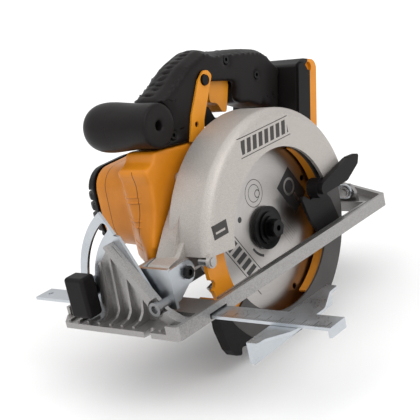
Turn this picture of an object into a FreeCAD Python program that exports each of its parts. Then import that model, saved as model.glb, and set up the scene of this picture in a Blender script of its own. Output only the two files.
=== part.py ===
"""Cordless circular saw, 165 mm blade, blade on the left, built as separate parts in millimetres.

Frame: +Z up, square to the sole of the base plate, which lies in the plane z = 0. +X points to the
rear of the saw, -X is the direction of cutting, +Y points to the motor side. The blade turns in the
plane y = 0, and its arbor stands directly above the origin. The saw is set to its full cutting depth
and to a square cut, so the blade and its lower guard reach below the base plate.
"""
import FreeCAD
import Part
import math
import os

os.makedirs("parts", exist_ok=True)
V = FreeCAD.Vector

# ---- driving dimensions -------------------------------------------------------------------------
BLADE_R = 82.5              # 165 mm blade
DEPTH_OF_CUT = 55.0         # blade below the sole at full depth
ARBOR_Z = BLADE_R - DEPTH_OF_CUT
BLADE_BORE_R = 10.0
PLATE_T = 1.6               # blade body
TOOTH_COUNT = 24

UPPER_R = 96.0              # upper guard, outer radius
UPPER_WALL = 3.0
UPPER_NEAR_Y = -22.0
UPPER_FAR_Y = 16.0
WINDOW_R = 65.0             # round window in the upper guard's outer face
LOWER_R = 90.0              # lower guard, outer radius
LOWER_WALL = 1.8
LOWER_NEAR_Y = -14.5
LOWER_FAR_Y = 10.5
BAND_IN_R = 66.5            # inner edge of the lower guard's outer face
HUB_R = 17.0                # boss that the lower guard turns on

DEPTH_PIVOT = (-106.0, ARBOR_Z + 5.0)       # x, z of the depth hinge
DEPTH_ARC_R = 172.0         # radius of the rear depth arc about the depth hinge
DEPTH_CLAMP = (DEPTH_PIVOT[0] + 171.5, 20.0)   # x, z of the depth clamp at full depth
DEPTH_CLAMP_Y = 41.4
BEVEL_AXIS_Z = 16.5                         # the bevel hinge runs along X in the blade's plane
ARC_R = 83.0                                # bevel quadrant, outer radius about the bevel axis
CLAMP_R = 72.0                              # radius of the bevel clamp bolt about the bevel axis
CLAMP_ANGLE = 7.0                           # degrees above the horizontal
BEVEL_MAX = 45.0

SHOE_T = 4.5                # base plate thickness
SHOE_RIM_Z = 11.0           # height of the rails
SHOE_FRONT_X = -152.0
SHOE_REAR_X = 165.0
SHOE_NEAR_Y = -31.0
SHOE_FAR_Y = 96.0
SLOT = (-96.5, 114.0, -20.6, 40.0)          # blade opening: x from, x to, y from, y to

FENCE_X = (-116.0, -98.0)   # rip fence bar
FENCE_Z = (2.0, 4.4)
FENCE_Y = (-134.0, 160.0)
GUIDE_Y = -86.0             # inner edge of the rip fence guide

GEAR_MODULE = 1.25
MOTOR_TEETH, IDLER_TEETH = 10, 26           # first stage
IDLER_PINION_TEETH, SPINDLE_TEETH = 14, 24  # second stage
STAGE_2 = GEAR_MODULE * (IDLER_PINION_TEETH + SPINDLE_TEETH) / 2
STAGE_1 = GEAR_MODULE * (MOTOR_TEETH + IDLER_TEETH) / 2
TRAIN_ANGLE = math.radians(132.4)           # direction from the arbor to the motor
IDLER = (STAGE_2 * math.cos(TRAIN_ANGLE), ARBOR_Z + STAGE_2 * math.sin(TRAIN_ANGLE))
MOTOR = ((STAGE_1 + STAGE_2) * math.cos(TRAIN_ANGLE), ARBOR_Z
         + (STAGE_1 + STAGE_2) * math.sin(TRAIN_ANGLE))

HANDLE_Y = 42.0             # middle plane of the rear handle and the battery dock
HANDLE_HALF = 17.0
HANDLE_TILT = math.radians(17.0)            # the rear handle falls towards the rear by this much
DOCK_Y = (10.0, 78.0)
HANDLE_SCREWS = ((62.0, ARBOR_Z + 112.0), (27.0, ARBOR_Z + 133.5), (-52.0, ARBOR_Z + 94.0))   # x, z
LOCK_OFF = (-7.5, ARBOR_Z + 121.5 + 4.0)    # x, z of the lock-off cross bolt
TRIGGER_PIVOT = (14.0, ARBOR_Z + 126.5)     # x, z of the trigger's pin
RUN = 0.05                  # radial clearance of a running fit


# ---- small helpers ------------------------------------------------------------------------------
def export(name, *solids):
    shape = solids[0] if len(solids) == 1 else Part.makeCompound(list(solids))
    shape.exportStep("parts/" + name + ".step")


def corner_wire(points, place):
    """Closed wire through points (a, b) or (a, b, corner radius), placed in space by place(a, b)."""
    n = len(points)
    runs = []
    for i, point in enumerate(points):
        a, b = point[0], point[1]
        r = point[2] if len(point) > 2 else 0.0
        before, after = points[i - 1], points[(i + 1) % n]
        d1 = (before[0] - a, before[1] - b)
        d2 = (after[0] - a, after[1] - b)
        l1, l2 = math.hypot(*d1), math.hypot(*d2)
        d1, d2 = (d1[0] / l1, d1[1] / l1), (d2[0] / l2, d2[1] / l2)
        cosine = max(-1.0, min(1.0, d1[0] * d2[0] + d1[1] * d2[1]))
        half = math.acos(cosine) / 2
        if r <= 0 or half > math.pi / 2 - 1e-3:
            runs.append([(a, b)])
            continue
        cut = min(r / math.tan(half), 0.49 * l1, 0.49 * l2)
        r = cut * math.tan(half)
        mid = (d1[0] + d2[0], d1[1] + d2[1])
        size = math.hypot(*mid)
        reach = r / math.sin(half) - r
        start = (a + d1[0] * cut, b + d1[1] * cut)
        middle = (a + mid[0] / size * reach, b + mid[1] / size * reach)
        end = (a + d2[0] * cut, b + d2[1] * cut)
        runs.append([start, middle, end])
    edges = []
    for i, run in enumerate(runs):
        if len(run) == 3:
            edges.append(Part.Arc(*[place(*p) for p in run]).toShape())
        a, b = place(*run[-1]), place(*runs[(i + 1) % n][0])
        if (b - a).Length > 1e-6:
            edges.append(Part.LineSegment(a, b).toShape())
    return Part.Wire(edges)


def prism_y(points, y0, y1):
    """Outline in x, z, drawn out along Y."""
    wire = corner_wire(points, lambda a, b: V(a, y0, b))
    return Part.Face(wire).extrude(V(0, y1 - y0, 0))


def prism_x(points, x0, x1):
    """Outline in y, z, drawn out along X."""
    wire = corner_wire(points, lambda a, b: V(x0, a, b))
    return Part.Face(wire).extrude(V(x1 - x0, 0, 0))


def prism_z(points, z0, z1):
    """Outline in x, y, drawn out along Z."""
    wire = corner_wire(points, lambda a, b: V(a, b, z0))
    return Part.Face(wire).extrude(V(0, 0, z1 - z0))


def box(x0, x1, y0, y1, z0, z1):
    return Part.makeBox(x1 - x0, y1 - y0, z1 - z0, V(x0, y0, z0))


def rod_y(r, y0, y1, x=0.0, z=ARBOR_Z):
    return Part.makeCylinder(r, y1 - y0, V(x, y0, z), V(0, 1, 0))


def rod_x(r, x0, x1, y, z):
    return Part.makeCylinder(r, x1 - x0, V(x0, y, z), V(1, 0, 0))


def rod_z(r, z0, z1, x, y):
    return Part.makeCylinder(r, z1 - z0, V(x, y, z0), V(0, 0, 1))


def ring_y(r_in, r_out, y0, y1, x=0.0, z=ARBOR_Z):
    return rod_y(r_out, y0, y1, x, z).cut(rod_y(r_in, y0 - 1, y1 + 1, x, z))


def hexagon_y(across, y0, y1, x=0.0, z=ARBOR_Z):
    r = across / math.sqrt(3)
    points = [(x + r * math.cos(math.radians(60 * k)), z + r * math.sin(math.radians(60 * k)))
              for k in range(6)]
    return prism_y(points, y0, y1)


def polar(r, degrees, x=0.0, z=ARBOR_Z):
    a = math.radians(degrees)
    return (x + r * math.cos(a), z + r * math.sin(a))


def fan_y(r, start, end, y0, y1):
    """Pie slice about the arbor from one angle to another, in degrees from +X towards +Z."""
    steps = max(2, int(abs(end - start) / 30) + 1)
    points = [(0.0, ARBOR_Z)]
    points += [polar(r / math.cos(math.radians((end - start) / steps / 2)), start
                     + (end - start) * k / steps)
               for k in range(steps + 1)]
    return prism_y(points, y0, y1)


def soften(shape, radius, wanted):
    """Rounds the edges for which wanted(edge) is true."""
    edges = [e for e in shape.Edges if wanted(e)]
    return shape.makeFillet(radius, edges)


def screw(x, y, z, direction, length, head_r=3.4, shank_r=1.9, head_t=3.0):
    """Pan-head screw with a cross recess: head underside at the point, shank along direction."""
    d = V(*direction)
    d.normalize()
    head = Part.makeCylinder(head_r, head_t, V(x, y, z) - d * head_t, d)
    recess = Part.makeCylinder(1.5, 1.6, V(x, y, z) - d * head_t, d)
    shank = Part.makeCylinder(shank_r, length, V(x, y, z), d)
    return head.cut(recess).fuse(shank)


def gear_outline(teeth, turn, x, z, backlash=0.3, addendum=0.82, dedendum=1.12):
    """Points of an involute spur gear, one tooth centred on the angle turn."""
    pitch = GEAR_MODULE * teeth / 2
    base = pitch * math.cos(math.radians(20))
    tip = pitch + addendum * GEAR_MODULE
    root = pitch - dedendum * GEAR_MODULE

    def involute(r):
        if r <= base:
            return 0.0
        t = math.sqrt((r / base) ** 2 - 1)
        return t - math.atan(t)

    half = math.pi / 2 / teeth - backlash / pitch / 2 + involute(pitch)
    points = []
    for k in range(teeth):
        middle = turn + 2 * math.pi * k / teeth
        radii = [root] + [max(root, base) + (tip - max(root, base)) * s / 3 for s in range(4)]
        flank = [(r, half - involute(r)) for r in radii]
        for r, a in flank:
            points.append((x + r * math.cos(middle - a), z + r * math.sin(middle - a)))
        for r, a in reversed(flank):
            points.append((x + r * math.cos(middle + a), z + r * math.sin(middle + a)))
    cleaned = [points[0]]
    for p in points[1:]:
        if math.hypot(p[0] - cleaned[-1][0], p[1] - cleaned[-1][1]) > 1e-4:
            cleaned.append(p)
    return cleaned


def gear(teeth, turn, x, z, y0, y1, bore_r):
    return prism_y(gear_outline(teeth, turn, x, z), y0, y1).cut(rod_y(bore_r, y0 - 1, y1 + 1, x, z))


def from_handle(s, t):
    """Point s along the tilted rear handle and t square to it, as x, z."""
    c, k = math.cos(HANDLE_TILT), math.sin(HANDLE_TILT)
    return (s * c + t * k, ARBOR_Z - s * k + t * c)


# ---- blade, arbor and gears ---------------------------------------------------------------------
def blade_outline():
    """Saw blade edge: each tooth rises to a tip and falls into a gullet."""
    points = []
    pitch = 360.0 / TOOTH_COUNT
    for k in range(TOOTH_COUNT):
        a = k * pitch
        points.append(polar(BLADE_R - 0.4, a) + (0.0,))
        points.append(polar(BLADE_R - 1.6, a + 3.2) + (0.0,))
        points.append(polar(BLADE_R - 6.0, a + 8.5) + (2.5,))
        points.append(polar(BLADE_R - 8.8, a + 13.6) + (2.2,))
    return points


def make_blade_set():
    blade = prism_y(blade_outline(), -PLATE_T / 2, PLATE_T / 2)
    blade = blade.cut(rod_y(BLADE_BORE_R, -2, 2))
    blade = blade.cut(Part.makeCompound([rod_y(2.6, -2, 2, *polar(64, 20 + 90 * k)) for k in range(4)]))
    export("blade", blade)
    tips = []
    for k in range(TOOTH_COUNT):
        a = k * 360.0 / TOOTH_COUNT
        tip = box(BLADE_R - 6.2, BLADE_R, -1.1, 1.1, ARBOR_Z - 2.1, ARBOR_Z - 0.08)
        tip.rotate(V(0, 0, ARBOR_Z), V(0, -1, 0), a - 0.25)
        tips.append(tip.cut(blade))
    export("carbide_tips", *tips)

    spindle = rod_y(6.0, -6.2, 14.8).fuse(rod_y(BLADE_BORE_R - 0.1, -0.8,
                                                0.8)).fuse(rod_y(4.0, 14.8, 37.2))
    spindle = spindle.cut(rod_y(2.9, -7, 8))
    export("spindle", spindle)
    inner = ring_y(6.0, 18.0, 0.8, 4.6).cut(ring_y(12.0, 17.0, 0.7, 1.4))
    outer = ring_y(6.0, 17.5, -4.6, -0.8).fuse(ring_y(6.0, 13.0, -6.2, -4.6))
    export("blade_flanges", inner, outer)
    washer = ring_y(2.9, 9.5, -8.0, -6.2)
    head = hexagon_y(13.0, -14.5, -8.0).common(rod_y(7.2, -14.5, -8.0)).cut(rod_y(2.4, -14.6, -11.0))
    bolt = head.fuse(rod_y(2.8, -8.0, 7.0)).fuse(washer)
    export("blade_bolt", bolt)

    # Both stages mesh along the straight line of the three shafts.
    train = math.degrees(TRAIN_ANGLE)
    export("spindle_gear", gear(SPINDLE_TEETH, math.radians(train), 0, ARBOR_Z, 18.0, 25.0, 4.0))
    pinion_turn = math.radians(train + 180 + 180.0 / IDLER_PINION_TEETH)
    export("idler_pinion", gear(IDLER_PINION_TEETH, pinion_turn, *IDLER, 18.0, 25.0, 4.0))
    export("idler_gear", gear(IDLER_TEETH, math.radians(train), *IDLER, 26.0, 33.0, 4.0))
    export("idler_shaft", rod_y(4.0, 15.2, 36.6, *IDLER))
    motor_turn = math.radians(train + 180 + 180.0 / MOTOR_TEETH)
    export("motor_pinion", gear(MOTOR_TEETH, motor_turn, *MOTOR, 26.0, 33.0, 2.5))


def make_motor():
    x, z = MOTOR
    export("motor_shaft", rod_y(2.5, 18.0, 119.0, x, z))
    slots = [rod_y(2.4, 50, 93, x + 19.5 * math.cos(k * math.pi / 5), z
                   + 19.5 * math.sin(k * math.pi / 5))
             for k in range(10)]
    core = ring_y(2.5, 21.0, 52.0, 90.0, x, z).cut(Part.makeCompound(slots))
    export("armature", core)
    export("commutator", ring_y(2.5, 9.0, 97.0, 106.0, x, z))
    hub = ring_y(2.5, 7.0, 42.0, 48.0, x, z)
    blades = []
    for k in range(9):
        vane = box(x + 6.0, x + 25.0, 42.0, 48.0, z - 0.8, z + 0.8)
        vane.rotate(V(x, 0, z), V(0, 1, 0), 40.0 * k)
        blades.append(vane)
    fan = hub
    for vane in blades:
        fan = fan.fuse(vane)
    export("cooling_fan", fan.fuse(ring_y(6.0, 25.0, 48.0, 49.5, x, z)))
    export("stator_can", ring_y(26.0, 29.0, 50.0, 94.0, x, z))
    magnets = []
    for side in (0.0, 180.0):
        arc = ring_y(22.0, 25.8, 52.0, 90.0, x, z)
        wedge = box(x, x + 40, 51, 91, z - 18, z + 18)
        wedge.rotate(V(x, 0, z), V(0, 1, 0), side)
        magnets.append(arc.common(wedge))
    export("stator_magnets", *magnets)
    brushes = []
    for side in (0.0, 180.0):
        brush = box(x + 9.2, x + 24.0, 98.5, 104.5, z - 4, z + 4)
        brush.rotate(V(x, 0, z), V(0, 1, 0), side)
        brushes.append(brush)
    export("carbon_brushes", *brushes)


def make_bearings():
    x, z = MOTOR
    spindle = [ring_y(6.0 + RUN, 12.0, 6.0, 13.0), ring_y(4.0 + RUN, 9.0, 33.4, 36.8)]
    idler = [ring_y(4.0 + RUN, 6.5, 15.0, 17.6, *IDLER), ring_y(4.0 + RUN, 7.5, 33.4, 36.8, *IDLER)]
    motor = [ring_y(2.5 + RUN, 7.0, 37.2, 41.0, x, z), ring_y(2.5 + RUN, 7.0, 112.4, 117.0, x, z)]
    export("bearings", *(spindle + idler + motor))


# ---- guards -------------------------------------------------------------------------------------
def make_upper_guard():
    """Cast shell over the top of the blade, with the boss for the arbor and the lug of the depth hinge."""
    outer = rod_y(UPPER_R, UPPER_NEAR_Y, UPPER_FAR_Y)
    outer = soften(outer, 8.0, lambda e: len(e.Vertexes) == 1 and abs(e.BoundBox.YMin
                                                                      - UPPER_NEAR_Y) < 0.01)
    inner = rod_y(UPPER_R - UPPER_WALL, UPPER_NEAR_Y + UPPER_WALL, UPPER_FAR_Y - 3.5)
    inner = soften(inner, 5.0, lambda e: len(e.Vertexes) == 1 and abs(e.BoundBox.YMin - UPPER_NEAR_Y
                                                                      - 3) < 0.01)
    shell = outer.cut(inner)
    shell = shell.cut(rod_y(WINDOW_R, UPPER_NEAR_Y - 5, UPPER_NEAR_Y + 8))
    below = fan_y(140, 172.6, 368, UPPER_NEAR_Y - 5, UPPER_FAR_Y - 3.5)
    shell = shell.cut(below)
    plate_cut = prism_y([(-140, -80), (140, -80), (140, ARBOR_Z + 6), (60, ARBOR_Z - 10, 20),
                         (24, ARBOR_Z - 20.5, 14),
                         (-24, ARBOR_Z - 20.5, 14), (-60, ARBOR_Z - 6, 20), (-140, ARBOR_Z + 2)],
                        UPPER_FAR_Y - 3.6, UPPER_FAR_Y + 1)
    shell = shell.cut(plate_cut)
    boss = rod_y(HUB_R, 5.4, UPPER_FAR_Y - 3.4)
    shell = shell.fuse(boss)
    lug = prism_y([(-84, ARBOR_Z + 32), (-102, ARBOR_Z + 14, 5), (-114, ARBOR_Z + 12, 5),
                   (-118.5, ARBOR_Z + 5, 5),
                   (-111, ARBOR_Z - 6, 6), (-99, ARBOR_Z - 7, 5), (-90, ARBOR_Z - 2)], 1.0, 23.0)
    lug = lug.cut(rod_y(UPPER_R - UPPER_WALL, 0.0, UPPER_FAR_Y
                        - 3.5)).cut(rod_y(UPPER_R - 8, UPPER_FAR_Y, 24))
    near_edge = [(-58, 71), (-71, 64), (-87, 41), (-97.5, 24), (-103.5, 10), (-97, -1), (-84, 6),
                 (-72, 38), (-50, 62)]
    far_edge = [(-52, 61), (-61, 58), (-73, 48.7), (-90, 31), (-106.7, 10.4), (-98, 0), (-88, 8),
                (-68, 38), (-48, 52)]
    wires = [corner_wire(edge, lambda a, b, y=y: V(a, y, ARBOR_Z + b)) for edge,
             y in ((near_edge, 6.0), (far_edge, 23.0))]
    fin = Part.makeLoft(wires, True, True).cut(rod_y(UPPER_R - UPPER_WALL, 0.0, UPPER_FAR_Y - 3.5))
    fin = fin.cut(rod_y(4.0 + RUN, 0, 30, *DEPTH_PIVOT))
    shell = shell.fuse(fin)
    shell = shell.fuse(rod_y(4.2, UPPER_FAR_Y - 2, 25.8, -57.5, ARBOR_Z + 61.5))
    shell = shell.cut(rod_y(1.7, UPPER_FAR_Y + 4, 27.0, -57.5, ARBOR_Z + 61.5))
    shell = shell.fuse(lug)
    shell = shell.cut(rod_y(12.0 + 0.02, 6.0, 13.0)).cut(rod_y(6.8, 5.0, 17.0))
    shell = shell.cut(rod_y(8.2, 13.0, 17.0)).cut(rod_y(6.5 + 0.02, 15.0, 17.0, *IDLER))
    shell = shell.cut(rod_y(4.0 + RUN, -8, 30, *DEPTH_PIVOT))
    stop_lug = rod_y(4.8, UPPER_NEAR_Y + 0.6, UPPER_NEAR_Y + 3.4, *polar(LOWER_R + 2.0, 175.0))
    stop_arm = prism_y([polar(86.5, 171.5), polar(95, 171.5), polar(96, 175), polar(88, 175)],
                       UPPER_NEAR_Y + 0.6, UPPER_NEAR_Y + 3.4)
    shell = shell.fuse([stop_lug, stop_arm]).cut(rod_y(3.42, -30, 0, *polar(LOWER_R + 2.0, 175.0)))
    boss = rod_y(8.5, UPPER_FAR_Y - 3.4, DEPTH_CLAMP_Y - 0.4, *DEPTH_CLAMP)
    boss_arm = prism_y([(44, ARBOR_Z - 6), (62, ARBOR_Z - 1), (72, ARBOR_Z - 4), (70, ARBOR_Z + 14),
                        (44, ARBOR_Z + 14)],
                       UPPER_FAR_Y - 3.4, UPPER_FAR_Y)
    shell = shell.fuse([boss, boss_arm]).cut(rod_y(2.9, 5, 50, *DEPTH_CLAMP))
    shell = shell.removeSplitter()
    export("upper_guard", shell)


def band(r_in, r_out, y0, y1, start, end):
    """Part of a ring about the arbor."""
    return ring_y(r_in, r_out, y0, y1).common(fan_y(r_out + 8, start, end, y0 - 1, y1 + 1))


def make_lower_guard():
    """Spring-loaded guard round the lower half of the blade. It turns on the upper guard's boss."""
    start, end = 212.0, 418.0
    near = band(BAND_IN_R, LOWER_R, LOWER_NEAR_Y, LOWER_NEAR_Y + LOWER_WALL, start, end)
    rim = band(LOWER_R - LOWER_WALL, LOWER_R, LOWER_NEAR_Y, LOWER_FAR_Y, start, end)
    far = band(HUB_R + 6, LOWER_R, LOWER_FAR_Y - LOWER_WALL, LOWER_FAR_Y, start, end)
    hub = ring_y(HUB_R + RUN + 0.04, HUB_R + 7.5, 6.2, LOWER_FAR_Y)
    guard = near.fuse(rim).fuse(far).fuse(hub).removeSplitter()
    export("lower_guard", guard)

    liner_end = 410.0
    front_end = 205.0
    y0, y1 = LOWER_NEAR_Y + LOWER_WALL + 0.1, LOWER_NEAR_Y + 3.6
    face = band(BAND_IN_R + 2.0, LOWER_R - LOWER_WALL - 0.2, y0, y1, front_end - 2, liner_end)
    wall = band(BAND_IN_R + 2.0, BAND_IN_R + 3.6, y1 - 0.5, -3.2, 290, liner_end)
    tongue = band(BAND_IN_R + 3.5, LOWER_R - 5.6, y0 - 1.7, y1, 169, 180)
    front = band(BAND_IN_R + 3.5, LOWER_R + 1.2, y0 - 1.7, y1, 177.6, front_end)
    front = front.fuse(tongue).cut(rod_y(4.4, y0 - 3, y1 + 2, *polar(LOWER_R + 1.5, 187.5)))
    lip = band(LOWER_R - LOWER_WALL - 2.4, LOWER_R - LOWER_WALL - 0.2, LOWER_NEAR_Y + 3.0, LOWER_FAR_Y
               - LOWER_WALL - 0.2,
               198, liner_end)
    export("guard_liner", face.fuse([front, lip, wall]).removeSplitter())

    nose = prism_y([polar(LOWER_R + 0.25, 214), polar(LOWER_R + 0.25, 203), polar(97, 202.5) + (3,),
                    polar(102.6, 208) + (12,),
                    polar(108.8, 218) + (6,), polar(109.8, 222) + (2,), polar(106.6, 226) + (2,),
                    polar(101.2, 224) + (3,),
                    polar(98.5, 226.5) + (3,), polar(95.5, 233) + (4,), polar(LOWER_R + 0.25, 236)],
                   LOWER_NEAR_Y, LOWER_NEAR_Y + 9.0)
    nose = nose.cut(rod_y(LOWER_R + 0.2, LOWER_NEAR_Y - 1, LOWER_FAR_Y + 1))
    nose = nose.cut(band(80, LOWER_R + 1.5, LOWER_NEAR_Y - 1, y1 + 0.2, 190, front_end + 1.0))
    export("guard_nose", nose)

    z = ARBOR_Z
    foot = prism_y([(31, z + 19, 4), (44, z + 8, 4), (62, z + 12, 6), (72, z, 6), (80, z - 23, 4),
                    (49, z - 25, 6),
                    (39, z - 8, 6)], LOWER_NEAR_Y - 3.1, LOWER_NEAR_Y - 0.2)
    eye = rod_y(8.5, -24.8, LOWER_NEAR_Y - 0.2, 53, z + 15.5)
    arm = prism_y([(46, z + 11.7, 3), (46, z + 20, 5), (62, z + 24, 8), (92, z + 30, 6),
                   (107, z + 28.5, 2),
                   (103, z + 20.5, 3), (84, z + 11.7, 8)], -29.5, -24.3)
    ridges = [rod_y(0.9, -30.5, -24.0, 88 + 3.0 * k, z + 30.4 - 0.2 * k) for k in range(6)]
    arm = arm.cut(Part.makeCompound(ridges))
    lever = foot.fuse(eye).fuse(arm).removeSplitter()
    export("guard_lever", lever)


def make_guard_trim():
    export("guard_stop_pin", rod_y(3.4, UPPER_NEAR_Y - 0.6, LOWER_NEAR_Y + 4.5,
                                   *polar(LOWER_R + 2.0, 175.0)))


# ---- gear case and motor housing ----------------------------------------------------------------
def train_body(grow, y0, y1):
    """Rounded block round the three shafts of the gear train, larger than the gears by grow + 1."""
    discs = [((0.0, ARBOR_Z), 17.0 + grow), (IDLER, 18.3 + grow), (MOTOR, 9.0 + grow)]
    pieces = [rod_y(r, y0, y1, *centre) for centre, r in discs]
    for (first, r1), (second, r2) in zip(discs, discs[1:]):
        span = math.hypot(second[0] - first[0], second[1] - first[1])
        lean = math.acos((r1 - r2) / span)
        corners = []
        for (x, z), r, side in ((first, r1, 1), (first, r1, -1), (second, r2, -1), (second, r2, 1)):
            a = TRAIN_ANGLE + side * lean
            corners.append((x + r * math.cos(a), z + r * math.sin(a)))
        pieces.append(prism_y(corners, y0, y1))
    return pieces[0].fuse(pieces[1:]).removeSplitter()


def make_gear_case():
    outer = train_body(2.6, 16.1, 39.4)
    inner = train_body(0.0, 15.0, 36.9)
    case = outer.cut(inner)
    case = case.cut(rod_y(4.0 + 0.6, 36, 40, 0, ARBOR_Z)).cut(rod_y(7.02, 36, 40, *MOTOR))
    export("gear_case", case)


MOTOR_HALF = 39.5


def housing_outline(inset):
    """Section of the motor housing: round, with a flatter top and front."""
    x, z = MOTOR
    h = MOTOR_HALF - inset
    return [(x - h - 1.0, z - h * 0.55, 26), (x - h * 0.98, z + h * 0.98, 18), (x + h, z + h, 26),
            (x + h, z - h + 4, 26),
            (x - h * 0.45, z - h + 1.0, 22)]


def make_motor_housing():
    """Tapered shell round the motor, and the cover of the gear case with the neck of the handle."""
    x, z = MOTOR
    y0, y1 = 39.6, 111.8
    wires_out, wires_in = [], []
    for y, inset in ((y0, 0.0), (y1, 3.0)):
        wires_out.append(corner_wire(housing_outline(inset), lambda a, b, y=y: V(a, y, b)))
    for y, inset in ((y0 - 1, 2.8), (y1 + 1, 5.8)):
        wires_in.append(corner_wire(housing_outline(inset), lambda a, b, y=y: V(a, y, b)))
    shell = Part.makeLoft(wires_out, True, True).cut(Part.makeLoft(wires_in, True, True))
    export("motor_housing", shell)

    # Cover of the gear case: carries the neck of the handle and reaches forward beside the depth hinge.
    low = ARBOR_Z
    cover = prism_y([(-100, low + 4, 5), (-103.5, low + 15, 6), (-90, low + 46, 14), (-88, low + 66, 8),
                     (-91, low + 77, 3),
                     (-80, low + 81, 3), (-76.5, low + 88.3, 0), (-39, low + 83.2, 0),
                     (-20.6, low + 83.0, 0),
                     (-12, low + 74, 12), (2, low + 52, 14), (2, low + 24, 8), (-60, low + 2, 12)], 26.4,
                    76.0)
    cover = cover.cut(box(-120, 20, 57.6, 80, low + 62, 200))
    lobe = prism_z([(10, 20), (10, 76), (-68, 76), (-80, 66, 12), (-92, 50, 12), (-104, 31, 4),
                    (-106, 20)], -20, low + 62)
    cover = cover.common(lobe.fuse(box(-120, 20, 20, 70, low + 62, 200)))
    outer = Part.makeLoft(wires_out, True, True)
    cover = cover.cut(train_body(3.0, 20.0, 39.7)).cut(outer).cut(rod_y(15.6, 20, 28.7, *DEPTH_PIVOT))
    cover = cover.cut(prism_y(housing_outline(0.0), 39.5,
                              80)).cut(prism_y(housing_outline(4.0), 30.0, 39.6))
    export("gear_cover", max(cover.Solids, key=lambda piece: piece.Volume))


def make_end_cap():
    x, z = MOTOR
    y0, y1 = 112.0, 129.0
    wires = [corner_wire(housing_outline(i), lambda a, b, y=y: V(a, y, b))
             for y, i in ((y0, 2.6), (y0 + 8, 4.0), (y1, 11.0))]
    outer = Part.makeLoft(wires, True, True)
    inner = [corner_wire(housing_outline(i), lambda a, b, y=y: V(a, y, b)) for y,
             i in ((y0 - 1, 6.0), (y1 - 3, 12.5))]
    cap = outer.cut(Part.makeLoft(inner, True, True))
    cap = cap.fuse(ring_y(7.02, 10.0, 112.4, y1 - 2.0, x, z))
    slots = []
    for k in range(5):
        level = z + 18 - 9.0 * k
        slots.append(box(x - 60, x - 22, y0 + 3.0, y0 + 20, level - 1.6, level + 1.6))
        slots.append(box(x + 22, x + 60, y0 + 3.0, y0 + 20, level - 1.6, level + 1.6))
    cap = cap.cut(Part.makeCompound(slots))
    for dx, dz in ((-16, 16), (16, -16)):
        cap = cap.cut(rod_y(2.0, y1 - 5, y1 + 1, x + dx, z
                            + dz)).cut(rod_y(3.6, y1 - 0.9, y1 + 3, x + dx, z + dz))
    export("motor_end_cap", max(cap.Solids, key=lambda s: s.Volume))
    export("end_cap_screws", *[screw(x + dx, y1 - 0.9, z + dz, (0, -1, 0), 2.0)
                               for dx, dz in ((-16, 16), (16, -16))])


# ---- handles ------------------------------------------------------------------------------------
def handle_outline():
    """Side view of the handle: front post, top, and the hand grip that falls towards the battery dock."""
    z = ARBOR_Z
    return [(-75, z + 88.5, 3), (-78, z + 108, 8), (-66, z + 120, 8), (-44, z + 128.5, 20),
            (-21, z + 141, 14),
            (2, z + 147, 12), (16, z + 141, 20), (52, z + 135, 40), (78, z + 128.5, 20),
            from_handle(58, 134) + (6,),
            from_handle(58, 88) + (6,), from_handle(46, 97) + (14,), from_handle(16, 101.5) + (12,),
            (27, z + 96.5, 6),
            (34, z + 114, 4), (4, z + 121, 4), (-9, z + 119, 6), (-16.5, z + 96, 12),
            (-20.6, z + 83.3, 0),
            (-39, z + 83.5, 0)]


GRIP_X, GRIP_Z = -69.0, ARBOR_Z + 106.5
GRIP_SECTIONS = ((22.0, 17.0), (44.0, 17.8), (68.0, 19.6), (83.0, 18.6), (91.0, 14.0))


def grip_barrel(grow):
    circles = [Part.Wire(Part.makeCircle(r + grow, V(GRIP_X, y, GRIP_Z), V(0, 1, 0))) for y,
               r in GRIP_SECTIONS]
    return Part.makeLoft(circles, True, False)


def make_handles():
    """Main handle in two clamshell halves, hollow where the switch sits, and the round front grip."""
    z = ARBOR_Z
    halves = {"handle_left_half": (HANDLE_Y - HANDLE_HALF, HANDLE_Y - 0.05),
              "handle_right_half": (HANDLE_Y + 0.05, HANDLE_Y + HANDLE_HALF)}
    cavity = prism_y([(-44, z + 98, 6), (-40, z + 126, 10), (-18, z + 137, 6), (12, z + 133, 6),
                      (50, z + 127, 6),
                      (46, z + 103, 5), (36, z + 122, 3), (4, z + 126, 3), (-16, z + 122, 6),
                      (-28, z + 98, 5)],
                     HANDLE_Y - 12.5, HANDLE_Y + 12.5)
    mouth = prism_y([(0, z + 105), (0, z + 133), (43, z + 127), (38, z + 92)], HANDLE_Y - 9.3, HANDLE_Y
                    + 9.3)
    button_hole = rod_y(4.4, HANDLE_Y - 30, HANDLE_Y + 30, *LOCK_OFF)
    pin_hole = rod_y(1.6, HANDLE_Y - 12.0, HANDLE_Y + 12.0, *TRIGGER_PIVOT)
    barrel = grip_barrel(0.1)
    for name, (y0, y1) in halves.items():
        body = prism_y(handle_outline(), y0, y1)
        body = body.cut(barrel).cut(cavity).cut(mouth).cut(button_hole).cut(pin_hole)
        for x, level in HANDLE_SCREWS:
            body = body.cut(rod_y(2.0, HANDLE_Y - 20, HANDLE_Y + 12, x, level))
            body = body.cut(rod_y(3.7, HANDLE_Y - 20, HANDLE_Y - HANDLE_HALF + 4.0, x, level))
        export(name, max(body.Solids, key=lambda piece: piece.Volume))
    export("handle_screws", *[screw(x, HANDLE_Y - HANDLE_HALF + 4.0, level, (0, 1, 0), 22.0, head_r=3.3)
                              for x, level in HANDLE_SCREWS])
    front = grip_barrel(0.0).cut(rod_y(3.8, 20, 34, GRIP_X, GRIP_Z))
    export("front_grip", front)
    strip = prism_y([(-38.5, z + 83.6, 1), (-30.5, z + 103, 6), (-14.5, z + 127, 4), (-6, z + 133, 5),
                     (-1, z + 131.5, 4),
                     (2.5, z + 127, 3), (-3.5, z + 117.5, 5), (-17.2, z + 96, 8), (-21, z + 83.6, 1)],
                    HANDLE_Y - HANDLE_HALF - 1.7, HANDLE_Y - HANDLE_HALF - 0.1)
    strip = strip.cut(rod_y(4.6, 20, 30, *LOCK_OFF)).cut(rod_y(2.3, 20, 30, -26.8, z + 95))
    export("handle_strip", strip)


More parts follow.
